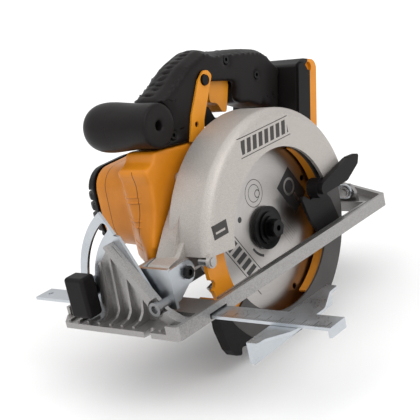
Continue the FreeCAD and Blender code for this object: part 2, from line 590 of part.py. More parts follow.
def make_controls():
    """Trigger on its pin, the switch behind it, the cross-bolt lock-off and the blade key's holder."""
    y, z = HANDLE_Y, ARBOR_Z
    trigger = prism_y([(4.5, z + 104, 3), (9.5, z + 128.5, 4), (19, z + 129.5, 4), (31.5, z + 121, 3),
                       (31.5, z + 112, 8),
                       (22.5, z + 91, 3), (17.5, z + 93, 3), (13.0, z + 102, 9)], y - 8.9, y + 8.9)
    trigger = trigger.cut(rod_y(1.6, y - 10, y + 10, *TRIGGER_PIVOT))
    export("trigger", trigger)
    export("trigger_pin", rod_y(1.55, y - 12.0, y + 12.0, *TRIGGER_PIVOT))
    export("switch_module", box(-37.0, -25.5, y - 10, y + 10, z + 106.0, z + 120.0))
    button = rod_y(4.0, y - HANDLE_HALF - 3.6, y - 12.9,
                   *LOCK_OFF).fuse(rod_y(4.0, y - 13, y + HANDLE_HALF + 3.6, *LOCK_OFF))
    export("lock_off_button", button.removeSplitter())
    holder = prism_y([(-16.5, z + 103, 2), (-2, z + 103.5, 2), (2.8, z + 101, 2), (8, z + 90.5, 3),
                      (17, z + 88.5, 3),
                      (15.5, z + 85.2, 2), (3, z + 84.6, 6), (-8, z + 88, 4), (-17.5, z + 92, 2)], y - 8,
                     y + 8)
    holder = holder.cut(prism_y(handle_outline(), y - 20, y + 20))
    export("key_holder", max(holder.Solids, key=lambda piece: piece.Volume))


def make_dock():
    """Open-ended battery dock at the rear: shell, side pads, slide rails and terminal block."""
    y0, y1 = DOCK_Y
    s0, s1 = 58.6, 89.5
    t0, t1 = 46.0, 140.0
    frame = [from_handle(s0, t1 - 6) + (4,), from_handle(s0 + 10, t1) + (6,), from_handle(s1, t1) + (8,),
             from_handle(s1, t0) + (3,), from_handle(s1 - 12, t0) + (3,), from_handle(s0, t0 + 26) + (6,)]
    shell = prism_y(frame, y0, y1)
    hollow = prism_y([from_handle(s1 - 14, t1 - 8) + (3,), from_handle(s1 + 5, t1 - 8),
                      from_handle(s1 + 5, t0 - 5),
                      from_handle(s1 - 9, t0 - 5), from_handle(s1 - 14, t0 + 20) + (6,)], y0 + 4.0, y1
                     - 4.0)
    shell = shell.cut(hollow).cut(rod_y(UPPER_R + 2.5, y0 - 1, UPPER_FAR_Y + 1.5))
    shell = shell.cut(rod_y(4.5, y0 - 1, y0 + 3.0, *from_handle(s1 - 12, t1 - 7)))
    export("battery_dock", max(shell.Solids, key=lambda s: s.Volume))
    rails = []
    for ya, yb in ((y0 + 4.2, y0 + 11.0), (y1 - 11.0, y1 - 4.2)):
        rail = prism_y([from_handle(s1 - 4.5, t1 - 12), from_handle(s1 - 1.0, t1 - 12),
                        from_handle(s1 - 1.0, t0 + 6),
                        from_handle(s1 - 4.5, t0 + 6)], ya, yb)
        rails.append(rail.cut(rod_y(UPPER_R + 2.5, y0 - 1, UPPER_FAR_Y + 1.5)))
    export("battery_rails", *[max(r.Solids, key=lambda s: s.Volume) for r in rails])
    block = prism_y([from_handle(s1 - 13.8, t1 - 12), from_handle(s1 - 6, t1 - 12),
                     from_handle(s1 - 6, t1 - 40),
                     from_handle(s1 - 13.8, t1 - 40)], HANDLE_Y - 18, HANDLE_Y + 18)
    export("terminal_block", block)
    blades = []
    for k in range(4):
        y = HANDLE_Y - 12 + 8 * k
        blades.append(prism_y([from_handle(s1 - 5.9, t1 - 16), from_handle(s1 - 1.2, t1 - 16),
                               from_handle(s1 - 1.2, t1 - 36), from_handle(s1 - 5.9, t1 - 36)], y - 0.5, y
                              + 0.5))
    export("terminal_blades", *blades)
    pads = []
    for ya, yb in ((y0 - 2.2, y0 - 0.1), (y1 + 0.1, y1 + 2.2)):
        pad = prism_y([from_handle(s0 + 2, t1 - 6) + (5,), from_handle(s0 + 9, t1 - 3) + (5,),
                       from_handle(s1 - 12.5, t1 - 3) + (6,), from_handle(s1 - 12.5, t0 + 37) + (3,),
                       from_handle(s1 - 22, t0 + 29) + (3,), from_handle(s0 + 2, t0 + 36) + (5,)], ya, yb)
        pad = pad.cut(prism_y([from_handle(s1 - 24, t1) + (2,), from_handle(s1 - 10, t1),
                               from_handle(s1 - 12, t1 - 14) + (3,)],
                              ya - 1, yb + 1))
        pad = pad.cut(rod_y(UPPER_R + 2.5, y0 - 5, UPPER_FAR_Y + 1.5))
        pads.append(max(pad.Solids, key=lambda s: s.Volume))
    export("dock_pads", *pads)


# ---- base plate and its brackets ----------------------------------------------------------------
def bevel_point(r, degrees):
    """Point on a circle about the bevel axis, as y, z."""
    a = math.radians(degrees)
    return (r * math.cos(a), BEVEL_AXIS_Z + r * math.sin(a))


def ring_x(r_in, r_out, x0, x1):
    disc = rod_x(r_out, x0, x1, 0, BEVEL_AXIS_Z)
    return disc.cut(rod_x(r_in, x0 - 1, x1 + 1, 0, BEVEL_AXIS_Z))


def pie_x(r, start, end, x0, x1):
    steps = max(2, int(abs(end - start) / 30) + 1)
    grow = 1 / math.cos(math.radians((end - start) / steps / 2))
    points = [(0.0, BEVEL_AXIS_Z)] + [bevel_point(r * grow, start + (end - start) * k / steps)
                                      for k in range(steps + 1)]
    return prism_x(points, x0, x1)


def shoe_outline(inset):
    i = inset
    return [(SHOE_FRONT_X + i, SHOE_NEAR_Y + i, 3), (133 - i, SHOE_NEAR_Y + i, 3),
            (SHOE_REAR_X - i, 36 + i * 0.4, 12),
            (SHOE_REAR_X - i, SHOE_FAR_Y - i, 5), (-140, SHOE_FAR_Y - i, 3),
            (SHOE_FRONT_X + i, 86 - i, 3)]


def make_base_plate():
    """Cast base plate with rails, front quadrant wall and ribs."""
    x_front = SHOE_FRONT_X
    plate = prism_z(shoe_outline(0.0), 0.0, SHOE_T)
    opening = prism_z([(SLOT[0], SLOT[2], 1.5), (SLOT[1], SLOT[2], 1.5), (SLOT[1], SLOT[3], 8),
                       (SLOT[0], SLOT[3], 8)], -1, 30)
    rim = prism_z(shoe_outline(0.0), SHOE_T, SHOE_RIM_Z).cut(prism_z(shoe_outline(3.0), 0, 20))
    rim = rim.cut(box(x_front - 1, -139, SHOE_NEAR_Y + 12, 120, 0, 20))
    near_lip = box(-95, 114, SLOT[2] - 2.6, SLOT[2], SHOE_T, 9.0)
    bridges = [box(-90 + 24 * k, -87.6 + 24 * k, SHOE_NEAR_Y + 3, SLOT[2] - 2.6, SHOE_T, 8.6)
               for k in range(9)]
    far_lip = box(-95, 114, SLOT[3], SLOT[3] + 2.6, SHOE_T, 7.5)
    rear_lip = box(114, 116.6, SLOT[2] - 2.6, SLOT[3] + 2.6, SHOE_T, 9.0)
    rear_ribs = [box(116.6, 152, y, y + 2.4, SHOE_T, 8.0) for y in (46.0, 70.0)]
    cross = box(-120.5, SLOT[0], SHOE_NEAR_Y, SHOE_FAR_Y, SHOE_T, 7.2)
    body = plate.fuse([rim, near_lip, far_lip, rear_lip, cross] + bridges + rear_ribs)
    body = body.cut(opening)
    body = body.cut(box(FENCE_X[0] - 1.0, FENCE_X[1] + 1.0, -60, 130, FENCE_Z[0] - 0.4, FENCE_Z[1] + 1.4))

    # Front wall, its sloping flange and the ribs that run down it and out to the front edge.
    top = bevel_point(58, 50)
    wall = prism_x([(-13, 3.0), (59, 3.0, 2), (61.5, BEVEL_AXIS_Z, 10), bevel_point(61.5, 28) + (14,),
                    (top[0] + 1.5, top[1] + 0.5, 3),
                    (top[0] - 3, top[1] + 1, 1)], -133.0, -129.5)
    flange = prism_x([(-30, 3.0), (-30, 7.4), (-18, 8.6, 12), (-5, 14.5, 12),
                      (top[0] - 0.6, top[1] + 3.0, 1),
                      (top[0] + 2.6, top[1] + 1.0, 1), (3, 12, 10), (-8, 5.0, 8), (-14, 3.0)], -138.0,
                     -129.5)
    body = body.fuse([wall, flange])
    for k in range(4):
        y = 14.0 + 12.0 * k
        height = min((y + 2) * 1.28 + 6.0, BEVEL_AXIS_Z + math.sqrt(61.5 ** 2 - (y + 2.4) ** 2))
        rib = prism_y([(x_front + 2.5, SHOE_T - 0.5), (-129.7, SHOE_T - 0.5), (-129.7, height, 0),
                       (-134.5, height, 2),
                       (-137.2, 12.0, 6), (-142.0, 7.6, 2), (x_front + 2.5, 6.4)], y, y + 2.4)
        body = body.fuse(rib)
    low = [prism_y([(x_front + 2.5, SHOE_T - 0.5), (-137, SHOE_T - 0.5), (-137, 6.2),
                    (x_front + 2.5, 6.2)], y, y + 2.2)
           for y in (62.0, 72.0, 82.0, -12.0, -24.0)]
    body = body.fuse(low)
    notch = prism_z([(x_front - 1, -3.5), (-144, -2.5, 2), (-144, 2.5, 2), (x_front - 1, 3.5)], -1, 10)
    body = body.cut(notch)
    body = body.cut(rod_x(4.0 + RUN, -150, -120, 0, BEVEL_AXIS_Z))
    body = body.cut(rod_x(7.2, -150, -133.0, 0, BEVEL_AXIS_Z))

    # Rear upright that carries the second bevel pivot.
    upright = prism_x([(-9, SHOE_T - 0.5), (9, SHOE_T - 0.5), (8, BEVEL_AXIS_Z + 4, 7),
                       (-8, BEVEL_AXIS_Z + 4, 7)], 121.4, 125.4)
    upright = upright.cut(rod_x(3.0 + RUN, 110, 130, 0, BEVEL_AXIS_Z))
    body = body.fuse(upright)
    body = body.cut(rod_z(3.05, 5, 12, (FENCE_X[0] + FENCE_X[1]) / 2, 74.0))
    body = body.removeSplitter()
    export("base_plate", max(body.Solids, key=lambda s: s.Volume))


def make_bevel_parts():
    """Slotted bevel quadrant on the base plate, and the bracket that turns against it."""
    x0, x1 = -129.4, -126.9
    plate = ring_x(62.5, ARC_R, x0, x1).common(pie_x(ARC_R + 5, -9, CLAMP_ANGLE + BEVEL_MAX + 5.0, x0,
                                                     x1))
    foot = prism_x([(60.0, 4.6), (bevel_point(ARC_R, -8)[0], 4.6), (84, 12.0), (60, 14.0)], x0, x1)
    top = bevel_point(63.5, CLAMP_ANGLE + BEVEL_MAX + 3.0)
    web = prism_x([(4, 12.5), (58, 12.5), bevel_point(63, 8), bevel_point(65.5, 34), top,
                   (top[0] - 6, top[1] - 1), (8, 24)],
                  x0, x1)
    first, last = CLAMP_ANGLE - 1.0, CLAMP_ANGLE + BEVEL_MAX + 1.0
    slot = ring_x(CLAMP_R - 3.9, CLAMP_R + 3.9, x0 - 1, x1
                  + 1).common(pie_x(ARC_R, first, last, x0 - 1, x1 + 1))
    for angle in (first, last):
        slot = slot.fuse(rod_x(3.9, x0 - 1, x1 + 1, *bevel_point(CLAMP_R, angle)))
    quadrant = plate.fuse(foot).fuse(web).cut(slot).cut(rod_x(9.0, x0 - 1, x1 + 1, 0, BEVEL_AXIS_Z))
    quadrant = quadrant.cut(box(-140, -100, -20, 120, -10, 4.55)).removeSplitter()
    export("bevel_quadrant", max(quadrant.Solids, key=lambda s: s.Volume))

    px, pz = DEPTH_PIVOT
    web_x0, web_x1 = -124.4, -121.4
    y_out = -7.5
    web = prism_x([(y_out, 10.8, 0), (14, 10.8, 3), (CLAMP_R - 2, 17.5, 3), (CLAMP_R + 7, 20, 5),
                   (CLAMP_R + 7, 32, 6), (CLAMP_R - 8, 32, 6),
                   (27.0, ARBOR_Z + 14, 3), (y_out, ARBOR_Z + 14, 3)], web_x0, web_x1)
    web = web.cut(rod_x(3.6, web_x0 - 1, web_x1 + 1, *bevel_point(CLAMP_R, CLAMP_ANGLE)))
    web = web.cut(rod_x(4.0 + RUN, web_x0 - 1, web_x1 + 1, 0, BEVEL_AXIS_Z))
    ears = []
    for ya in (y_out, 23.6):
        ear = prism_y([(web_x0 + 0.5, ARBOR_Z + 13, 0), (px, pz + 9.0), (px, pz - 9.0),
                       (web_x0 + 0.5, ARBOR_Z - 15.5, 4)],
                      ya, ya + 2.6)
        ear = ear.fuse(rod_y(9.0, ya, ya + 2.6, px, pz))
        ears.append(ear.cut(rod_y(4.0 + RUN, ya - 1, ya + 4, px, pz)))
    bracket = web.fuse(ears)
    export("tilt_bracket", bracket.removeSplitter())
    pin = rod_y(4.0, y_out - 0.2, 26.6, px, pz).fuse(hexagon_y(8.6, y_out - 3.4, y_out - 0.2, px, pz))
    pin = pin.cut(rod_y(2.4, y_out - 4, y_out - 1.5, px, pz)).fuse(rod_y(6.0, 26.6, 28.2, px, pz))
    export("depth_pivot_pin", pin)

    bolt = rod_x(4.0, -136.0, -117.5, 0, BEVEL_AXIS_Z).fuse(rod_x(5.4, -139.5, -136.0, 0, BEVEL_AXIS_Z))
    bolt = bolt.cut(rod_x(3.0, -140, -137.4, 0, BEVEL_AXIS_Z))
    export("bevel_pivot_bolt", bolt)
    cy, cz = bevel_point(CLAMP_R, CLAMP_ANGLE)
    export("bevel_clamp_bolt", rod_x(3.5, -137.4, -121.2, cy,
                                     cz).fuse(rod_x(6.5, -121.2, -118.0, cy, cz)))
    knob = box(-152.5, -138.0, 55.5, 76.0, 9.0, 41.5)
    knob = knob.makeFillet(3.0, knob.Edges)
    knob = knob.fuse(rod_x(7.0, -138.5, -130.2, cy, cz)).cut(rod_x(3.5 + RUN, -137.8, -128.0, cy, cz))
    export("bevel_lever", knob.removeSplitter())


def make_rear_bracket():
    """Rear arm of the tilt frame: a slotted arc about the depth hinge, on a foot with the pivot."""
    px, pz = DEPTH_PIVOT
    r = DEPTH_ARC_R
    y0, y1 = DEPTH_CLAMP_Y, DEPTH_CLAMP_Y + 2.5
    arc = ring_y(r - 8, r + 8, y0, y1, px, pz)
    arc = arc.common(prism_y([(px, pz - 8), (px + 230, pz - 24.5), (px + 230, pz + 110)], y0 - 1, y1 + 1))
    slot = ring_y(r - 3.3, r + 3.3, y0 - 1, y1 + 1, px, pz).common(
        prism_y([(px, pz - 3), (px + 230, pz - 21.5), (px + 230, pz + 99)], y0 - 2, y1 + 2))
    foot = prism_y([(70, 10.0), (121, 10.0, 0), (121, 22.0, 0), (104, 24.0, 6), (78, 34.0, 8), (70, 34)],
                   y0, y1)
    foot = foot.cut(ring_y(r - 3.3, r + 3.3, y0 - 1, y1 + 1, px, pz))
    arm = prism_x([(-7.0, BEVEL_AXIS_Z, 6), (-4, 23.0, 5), (y1, 22.0, 0), (y1, 10.0, 0), (-4, 10.0, 5)],
                  118.5, 121.0)
    arm = arm.cut(rod_x(3.0 + RUN, 110, 130, 0, BEVEL_AXIS_Z))
    frame = arc.cut(slot).fuse([foot, arm]).removeSplitter()
    export("depth_arc", max(frame.Solids, key=lambda piece: piece.Volume))
    pin = rod_x(3.0, 115.6, 127.8, 0, BEVEL_AXIS_Z).fuse(rod_x(5.0, 125.7, 127.8, 0, BEVEL_AXIS_Z))
    export("rear_pivot_pin", pin.fuse(rod_x(5.0, 116.6, 118.2, 0, BEVEL_AXIS_Z)))

    x, z = DEPTH_CLAMP
    export("depth_clamp_bolt", rod_y(2.7, 12.8, 52.4, x, z).fuse(hexagon_y(8.0, 52.4, 55.0, x, z)))
    hub = rod_y(8.0, y1 + 0.4, 52.2, x, z)
    grip = prism_y([(x + 2, z - 6, 3), (x + 20, z - 3, 6), (x + 47, z + 4, 4), (x + 45, z + 12, 4),
                    (x + 16, z + 7, 8),
                    (x, z + 7, 3)], y1 + 0.4, 50.0)
    export("depth_lever", hub.fuse(grip).cut(rod_y(2.7 + RUN, 30, 60, x, z)).removeSplitter())


def make_fence():
    bar = box(FENCE_X[0], FENCE_X[1], FENCE_Y[0], FENCE_Y[1], FENCE_Z[0], FENCE_Z[1])
    bar = bar.cut(rod_z(2.2, 0, 8, (FENCE_X[0] + FENCE_X[1]) / 2, FENCE_Y[1] - 9))
    bar = bar.fuse(box(FENCE_X[0], FENCE_X[1], FENCE_Y[0], FENCE_Y[0] + 2.2, FENCE_Z[0] - 5.0,
                       FENCE_Z[1]))
    export("fence_bar", bar)
    g = GUIDE_Y
    plate = prism_z([(-144, g), (-44, g), (-44, g - 7, 2), (-56, g - 8, 8), (-82, g - 21, 12),
                     (-120, g - 21, 12),
                     (-136, g - 8, 8), (-144, g - 7, 2)], -0.4, 1.8)
    lip = prism_y([(-144, 1.8), (-44, 1.8), (-44, -13.5, 3), (-144, -15.5, 3)], g, g + 2.2)
    export("fence_guide", plate.fuse(lip).removeSplitter())
    x = (FENCE_X[0] + FENCE_X[1]) / 2
    stem = rod_z(3.0, FENCE_Z[1] + 0.35, 14.0, x, 74.0)
    wing = rod_z(8.5, 14.0, 22.0, x, 74.0)
    grooves = [rod_z(1.3, 13, 23, x + 9.0 * math.cos(k * math.pi / 5), 74.0
                     + 9.0 * math.sin(k * math.pi / 5)) for k in range(10)]
    export("fence_screw", stem.fuse(wing.cut(Part.makeCompound(grooves))))


make_blade_set()
make_motor()
make_bearings()
make_upper_guard()
make_lower_guard()
make_guard_trim()
make_gear_case()
make_motor_housing()
make_end_cap()
make_handles()
make_controls()
make_dock()
make_base_plate()
make_bevel_parts()
make_rear_bracket()
make_fence()
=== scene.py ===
"""Cordless circular saw: looks, floor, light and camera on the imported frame, in metres."""
import bpy
import bmesh
import math
from mathutils import Matrix, Vector
from mathutils.bvhtree import BVHTree


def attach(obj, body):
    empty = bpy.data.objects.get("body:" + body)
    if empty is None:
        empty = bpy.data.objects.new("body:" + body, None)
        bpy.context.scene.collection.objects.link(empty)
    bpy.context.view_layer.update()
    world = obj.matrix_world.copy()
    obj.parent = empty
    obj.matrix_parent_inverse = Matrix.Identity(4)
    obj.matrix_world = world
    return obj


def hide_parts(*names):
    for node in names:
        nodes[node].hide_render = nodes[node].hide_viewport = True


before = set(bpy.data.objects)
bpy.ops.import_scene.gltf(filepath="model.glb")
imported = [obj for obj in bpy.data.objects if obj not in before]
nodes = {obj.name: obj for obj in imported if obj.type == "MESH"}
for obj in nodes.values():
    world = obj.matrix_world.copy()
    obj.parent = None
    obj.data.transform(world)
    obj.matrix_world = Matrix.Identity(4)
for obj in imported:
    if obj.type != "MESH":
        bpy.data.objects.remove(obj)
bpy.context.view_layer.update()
MM = 0.001
ARBOR = Vector((0.0, 0.0, 27.5))
HANDLE_MIDDLE = 42.0                # y of the plane where the handle's halves meet, mm
HANDLE_HALF = 17.0                  # half the handle's width, mm
TILT_COS, TILT_SIN = 0.9563, 0.2924     # the rear handle and the dock fall by 17 degrees
PRINT_COS, PRINT_SIN = 0.845, 0.535     # the blade's print is turned by 32 degrees
FLOOR_Z = -62.5                     # lowest point of the lower guard, mm
CAMERA_AT = Vector((-651.5, -541.9, 288.5))     # mm
GUARD_FACE_Y = -0.0208              # just inside the upper guard's outer face, metres
INK = (0.022, 0.018, 0.016)


# ---- material graphs ----------------------------------------------------------------------------
class Graph:
    """A principled material and the small nodes that feed it, in object coordinates (metres)."""

    def __init__(self, name, **sockets):
        self.mat = bpy.data.materials.new(name)
        self.mat.use_nodes = True
        self.tree = self.mat.node_tree
        self.bsdf = self.tree.nodes["Principled BSDF"]
        for key, value in sockets.items():
            self.bsdf.inputs[key.replace("_", " ")].default_value = value
        self.place = self.tree.nodes.new("ShaderNodeTexCoord").outputs["Object"]
        self.relief = None

    def put(self, source, socket):
        if isinstance(source, (int, float)):
            socket.default_value = source
        elif isinstance(source, tuple):
            socket.default_value = source if len(source) == 4 or socket.type == "VECTOR" else source + (1.0,)
        else:
            self.tree.links.new(source, socket)

    def noise(self, scale, detail=3.0, rough=0.55, place=None):
        n = self.tree.nodes.new("ShaderNodeTexNoise")
        n.inputs["Scale"].default_value = scale
        n.inputs["Detail"].default_value = detail
        n.inputs["Roughness"].default_value = rough
        self.put(place or self.place, n.inputs["Vector"])
        return n.outputs["Fac"]

    def math(self, kind, a, b=0.0, c=0.0):
        n = self.tree.nodes.new("ShaderNodeMath")
        n.operation = kind
        for value, socket in zip((a, b, c), n.inputs):
            self.put(value, socket)
        return n.outputs[0]

    def split(self, place=None):
        n = self.tree.nodes.new("ShaderNodeSeparateXYZ")
        self.put(place or self.place, n.inputs[0])
        return n.outputs[0], n.outputs[1], n.outputs[2]

    def join(self, x, y, z):
        n = self.tree.nodes.new("ShaderNodeCombineXYZ")
        for value, socket in zip((x, y, z), n.inputs):
            self.put(value, socket)
        return n.outputs[0]

    def spread(self, fac, low, high, a=0.0, b=1.0):
        n = self.tree.nodes.new("ShaderNodeMapRange")
        n.clamp = True
        for value, key in ((fac, "Value"), (low, "From Min"), (high, "From Max"), (a, "To Min"),
                           (b, "To Max")):
            self.put(value, n.inputs[key])
        return n.outputs[0]

    def mix(self, fac, a, b):
        n = self.tree.nodes.new("ShaderNodeMix")
        n.data_type = "RGBA"
        self.put(fac, n.inputs[0])
        self.put(a, n.inputs[6])
        self.put(b, n.inputs[7])
        return n.outputs[2]

    def set(self, key, source):
        self.put(source, self.bsdf.inputs[key])
        return self

    def bump(self, height, distance, strength=1.0):
        n = self.tree.nodes.new("ShaderNodeBump")
        n.inputs["Strength"].default_value = strength
        n.inputs["Distance"].default_value = distance
        self.put(height, n.inputs["Height"])
        if self.relief is not None:
            self.put(self.relief, n.inputs["Normal"])
        self.relief = n.outputs[0]
        self.put(self.relief, self.bsdf.inputs["Normal"])
        return self

    def inside(self, value, low, high):
        return self.math("MULTIPLY", self.math("GREATER_THAN", value, low),
                         self.math("LESS_THAN", value, high))

    def both(self, *masks):
        total = masks[0]
        for mask in masks[1:]:
            total = self.math("MULTIPLY", total, mask)
        return total

    def either(self, *masks):
        total = masks[0]
        for mask in masks[1:]:
            total = self.math("MAXIMUM", total, mask)
        return total

    def stripes(self, value, pitch, share):
        """1 over the given share of every pitch."""
        return self.math("LESS_THAN", self.math("FRACT", self.math("DIVIDE", value, pitch)), share)

    def polar(self):
        """Radius and angle about the arbor, in the plane of the blade."""
        x, y, z = self.split()
        z = self.math("SUBTRACT", z, ARBOR.z * MM)
        radius = self.math("SQRT", self.math("ADD", self.math("MULTIPLY", x, x),
                                             self.math("MULTIPLY", z, z)))
        return radius, self.math("ARCTAN2", z, x)


def cast_metal(name, dark, light, metal, rough, grain=2400.0, relief=0.00005):
    g = Graph(name, Metallic=metal)
    speckle = g.noise(grain, 2.0, 0.7)
    cloud = g.noise(60.0, 3.0)
    g.colour = g.mix(g.spread(speckle, 0.35, 0.68), dark, light)
    g.set("Base Color", g.colour)
    g.set("Roughness", g.spread(g.math("ADD", speckle, g.math("MULTIPLY", cloud, 0.5)), 0.4, 1.0,
                                rough - 0.07, rough + 0.1))
    return g.bump(speckle, relief, 0.5).bump(cloud, 0.0002, 0.15)


def plastic(name, colour, deep, rough, grain=3200.0, relief=0.00003, strength=0.35, shine=0.3):
    g = Graph(name, Specular_IOR_Level=shine)
    fine = g.noise(grain, 2.0, 0.6)
    wide = g.noise(38.0, 4.0)
    g.colour = g.mix(g.spread(wide, 0.35, 0.7), colour, deep)
    g.set("Base Color", g.colour)
    g.set("Roughness", g.spread(wide, 0.3, 0.75, rough - 0.04, rough + 0.07))
    return g.bump(fine, relief, strength)


def sheet_metal(name, dark, light, rough, along=(900.0, 900.0, 900.0)):
    g = Graph(name, Metallic=1.0)
    x, y, z = g.split()
    place = g.join(g.math("MULTIPLY", x, along[0]), g.math("MULTIPLY", y, along[1]),
                   g.math("MULTIPLY", z, along[2]))
    lines = g.noise(1.0, 3.0, 0.6, place)
    cloud = g.noise(45.0, 4.0, 0.6)
    g.colour = g.mix(g.spread(cloud, 0.35, 0.7), dark, light)
    g.set("Base Color", g.colour)
    g.set("Roughness", g.spread(g.math("ADD", lines, cloud), 0.7, 1.3, rough - 0.07, rough + 0.12))
    return g.bump(lines, 0.00002, 0.5)


def guard_material():
    """Speckled casting with a plain printed band and a plain dark badge on its outer face."""
    g = cast_metal("guard_cast", (0.33, 0.305, 0.285), (0.56, 0.525, 0.49), 0.55, 0.46)
    x, y, z = g.split()
    face = g.math("LESS_THAN", y, GUARD_FACE_Y)
    rules = g.either(g.inside(z, 0.1115, 0.1122), g.inside(z, 0.0965, 0.0972))
    rules = g.both(rules, g.inside(x, -0.0365, 0.0285))
    slant = g.math("SUBTRACT", x, g.math("MULTIPLY", z, 0.25))
    bars = g.both(g.inside(z, 0.0990, 0.1097), g.inside(x, -0.0345, 0.0265),
                  g.stripes(slant, 0.0076, 0.66))
    badge = g.both(g.inside(x, -0.0852, -0.0680), g.inside(z, 0.0496, 0.0605))
    dash = g.both(g.inside(x, -0.0822, -0.0710), g.inside(z, 0.0532, 0.0548))
    ink = g.both(face, g.either(rules, bars, g.math("SUBTRACT", badge, dash)))
    g.set("Base Color", g.mix(ink, g.colour, INK))
    g.set("Metallic", g.math("MULTIPLY", g.math("SUBTRACT", 1.0, ink), 0.55))
    return g


def handle_material():
    """Black over-mould with a fine grain, and the line where the halves meet."""
    g = plastic("black_handle", (0.0070, 0.0056, 0.0054), (0.0100, 0.0082, 0.0080), 0.40, 2600.0, 0.00005,
                0.5, 0.13)
    x, y, z = g.split()
    seam = g.inside(y, 0.04175, 0.04225)
    panel = g.math("COMPARE", g.math("ADD", g.math("MULTIPLY", x, 0.83), g.math("MULTIPLY", z, -0.55)),
                   -0.1165, 0.0005)
    line = g.either(seam, g.both(panel, g.math("GREATER_THAN", z, 0.128)))
    return g.bump(g.math("SUBTRACT", 1.0, line), 0.0006, 0.9)


def grip_material():
    g = plastic("black_grip", (0.0070, 0.0056, 0.0054), (0.0100, 0.0082, 0.0080), 0.38, 2600.0, 0.00004,
                0.4, 0.15)
    x, y, z = g.split()
    return g.bump(g.math("SUBTRACT", 1.0, g.inside(y, 0.0618, 0.0624)), 0.0005, 0.9)


def fence_material():
    """Zinc-plated bar with a plain ruled scale along it."""
    g = sheet_metal("zinc_scale", (0.49, 0.52, 0.55), (0.56, 0.59, 0.62), 0.32)
    x, y, z = g.split()
    fine = g.both(g.stripes(g.math("ADD", y, 1.0), 0.002, 0.22), g.math("LESS_THAN", x, -0.1125))
    long = g.both(g.stripes(g.math("ADD", y, 1.0), 0.010, 0.06), g.math("LESS_THAN", x, -0.1075))
    ink = g.both(g.either(fine, long), g.math("GREATER_THAN", z, 0.00435), g.math("LESS_THAN", y, -0.02))
    g.set("Base Color", g.mix(ink, g.colour, (0.05, 0.05, 0.055)))
    g.set("Metallic", g.math("SUBTRACT", 1.0, g.math("MULTIPLY", ink, 0.8)))
    return g


def dock_material():
    """Battery dock: black over-mould in front, yellow rim at the rear and yellow below."""
    g = plastic("dock_two_tone", (0.64, 0.235, 0.010), (0.56, 0.20, 0.008), 0.38)
    x, y, z = g.split()
    up = g.math("SUBTRACT", z, ARBOR.z * MM)
    along = g.math("SUBTRACT", g.math("MULTIPLY", x, TILT_COS), g.math("MULTIPLY", up, TILT_SIN))
    across = g.math("ADD", g.math("MULTIPLY", x, TILT_SIN), g.math("MULTIPLY", up, TILT_COS))
    dark = g.both(g.math("LESS_THAN", along, 0.0765), g.math("GREATER_THAN", across, 0.083))
    dark = g.either(dark, g.both(g.math("LESS_THAN", across, 0.066), g.math("LESS_THAN", along, 0.084)))
    g.set("Base Color", g.mix(dark, g.colour, (0.0085, 0.0072, 0.0070)))
    g.set("Specular IOR Level", g.spread(dark, 0.0, 1.0, 0.3, 0.2))
    return g


def housing_material():
    """Moulded yellow housing with the fine gaps between its shells."""
    g = plastic("yellow_housing", (0.60, 0.205, 0.008), (0.50, 0.165, 0.006), 0.36)
    x, y, z = g.split()
    seam = g.both(g.math("COMPARE", y, 0.0420, 0.00035), g.math("LESS_THAN", z, 0.104))
    bow = g.math("SUBTRACT", y, g.math("MULTIPLY", g.math("POWER", g.math("SUBTRACT", z, 0.075), 2.0),
                                       -6.0))
    curve = g.both(g.math("COMPARE", bow, 0.0765, 0.0004), g.math("LESS_THAN", x, -0.055),
                   g.math("LESS_THAN", z, 0.100))
    band = g.math("COMPARE", y, 0.0985, 0.0003)
    line = g.either(seam, curve, band)
    g.set("Base Color", g.mix(line, g.colour, (0.12, 0.04, 0.003)))
    return g.bump(g.math("SUBTRACT", 1.0, line), 0.0005, 0.9)


guard_cast = guard_material()
dock_yellow = dock_material()
housing_yellow = housing_material()
shoe_cast = cast_metal("shoe_cast", (0.25, 0.24, 0.235), (0.41, 0.40, 0.39), 0.85, 0.33, 1500.0, 0.00006)
gear_cast = cast_metal("gear_cast", (0.25, 0.25, 0.25), (0.35, 0.35, 0.35), 0.8, 0.5)
black = plastic("black_plastic", (0.0060, 0.0052, 0.0052), (0.0085, 0.0075, 0.0075), 0.42, shine=0.12)
handle_black = handle_material()
grip_black = grip_material()
strip_yellow = plastic("strip_yellow", (0.68, 0.26, 0.012), (0.60, 0.22, 0.010), 0.36)
liner_yellow = plastic("liner_yellow", (0.66, 0.24, 0.012), (0.56, 0.20, 0.010), 0.32)
guard_dark = plastic("guard_dark", (0.040, 0.036, 0.035), (0.056, 0.051, 0.050), 0.36)
zinc = sheet_metal("zinc_plate", (0.47, 0.50, 0.53), (0.54, 0.57, 0.60), 0.30)
fence_zinc = fence_material()
steel = sheet_metal("machined_steel", (0.35, 0.34, 0.335), (0.47, 0.465, 0.46), 0.30)
dark_zinc = sheet_metal("dark_zinc", (0.20, 0.20, 0.205), (0.30, 0.30, 0.305), 0.30)
# Near-black steel; on the handle screws it is painted shade, darkening them like the recesses they sit in.
dark_steel = sheet_metal("dark_steel", (0.018, 0.018, 0.018), (0.03, 0.03, 0.03), 0.36)
copper = sheet_metal("copper", (0.6, 0.3, 0.14), (0.72, 0.4, 0.2), 0.3)
magnet = cast_metal("magnet", (0.03, 0.03, 0.03), (0.06, 0.06, 0.06), 0.3, 0.6)


